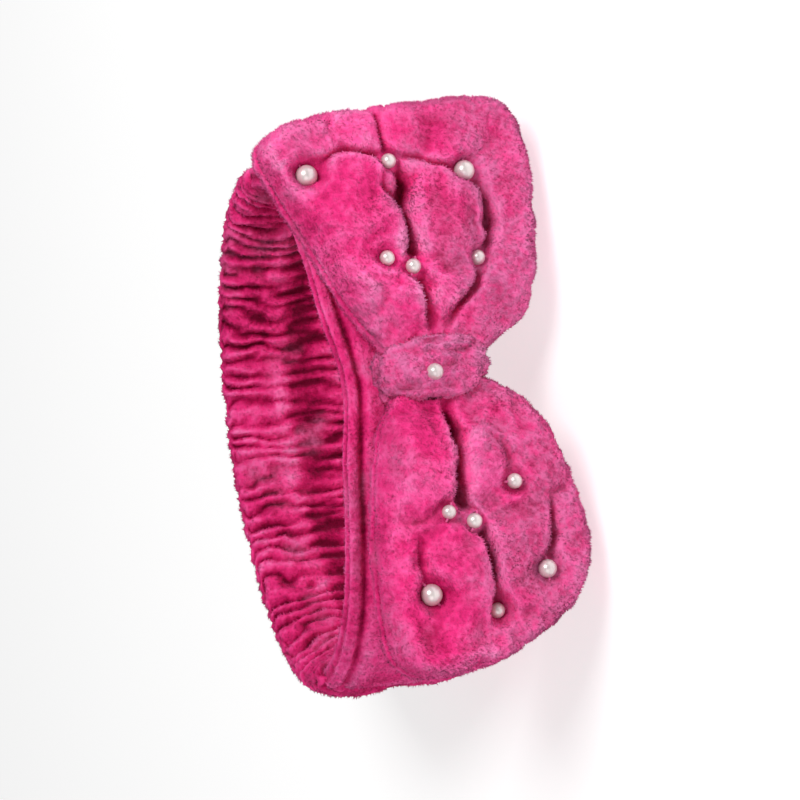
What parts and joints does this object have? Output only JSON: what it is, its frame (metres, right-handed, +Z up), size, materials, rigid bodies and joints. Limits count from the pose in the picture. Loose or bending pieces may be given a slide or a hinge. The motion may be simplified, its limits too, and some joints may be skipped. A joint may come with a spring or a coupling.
{
  "type": "spa headband",
  "caption": "Plush spa headband with a smooth padded front, a gathered elastic back and a padded bow sewn with pearl beads.",
  "frame": {"origin": "middle of the bounding box in plan, at the level the headband rests on", "axes": "+Z up as it rests on its lower edges, +X along the bow to its right wing as seen from the front, -Y the side that the bow faces"},
  "size_m": [0.181, 0.148, 0.0828],
  "materials": {
    "plush": "brushed pile",
    "gathered_plush": "brushed pile, gathered",
    "foam": "matte",
    "fibre_filling": "matte",
    "elastic": "matte, woven",
    "thread": "matte",
    "pearl": "pearl"
  },
  "bodies": {
    "front_band": {"front_band_cover": "plush", "front_band_lining": "plush", "front_band_padding": "foam", "left_join_seam": "plush", "right_join_seam": "plush", "gathered_casing_left": "gathered_plush", "gathered_casing_right": "gathered_plush", "elastic_strip": "elastic", "knot_wrap": "plush", "bow_waist": "plush", "bow_tack_stitch_lower": "thread", "bow_tack_stitch_upper": "thread", "pearl_knot": "pearl", "pearl_thread_knot": "thread"},
    "gathered_back": {"gathered_casing_back": "gathered_plush"},
    "right_wing": {"right_wing_front_panel": "plush", "right_wing_back_panel": "plush", "right_wing_filling": "fibre_filling", "pearl_right_upper_corner": "pearl", "pearl_right_outer_crease": "pearl", "pearl_right_lower_corner": "pearl", "pearl_right_crease_upper": "pearl", "pearl_right_crease_inner": "pearl", "pearl_right_lower_crease": "pearl", "pearl_thread_right_upper_corner": "thread", "pearl_thread_right_outer_crease": "thread", "pearl_thread_right_lower_corner": "thread", "pearl_thread_right_crease_upper": "thread", "pearl_thread_right_crease_inner": "thread", "pearl_thread_right_lower_crease": "thread"},
    "left_wing": {"left_wing_front_panel": "plush", "left_wing_back_panel": "plush", "left_wing_filling": "fibre_filling", "pearl_left_lower_inner": "pearl", "pearl_left_crease_upper": "pearl", "pearl_left_crease_inner": "pearl", "pearl_left_upper_corner": "pearl", "pearl_left_lower_corner": "pearl", "pearl_left_outer_crease": "pearl", "pearl_thread_left_lower_inner": "thread", "pearl_thread_left_crease_upper": "thread", "pearl_thread_left_crease_inner": "thread", "pearl_thread_left_upper_corner": "thread", "pearl_thread_left_lower_corner": "thread", "pearl_thread_left_outer_crease": "thread"}
  },
  "joints": [
    {"name": "band_stretch", "type": "slide", "parent": "front_band", "child": "gathered_back", "axis": [0, 1, 0], "range_m": [0, 0.05], "stiffness_N_per_m": 60, "deforming": ["gathered_casing_left", "gathered_casing_right", "elastic_strip"]},
    {"name": "right_wing_bend", "type": "hinge", "parent": "front_band", "child": "right_wing", "pos_m": [0.009, -0.05903, 0.04117], "axis": [0, 0.1102, 0.9939], "range_deg": [-20, 3], "stiffness_Nm_per_rad": 0.05},
    {"name": "left_wing_bend", "type": "hinge", "parent": "front_band", "child": "left_wing", "pos_m": [-0.009, -0.05903, 0.04117], "axis": [0, 0.1102, 0.9939], "range_deg": [-3, 20], "stiffness_Nm_per_rad": 0.05}
  ]
}
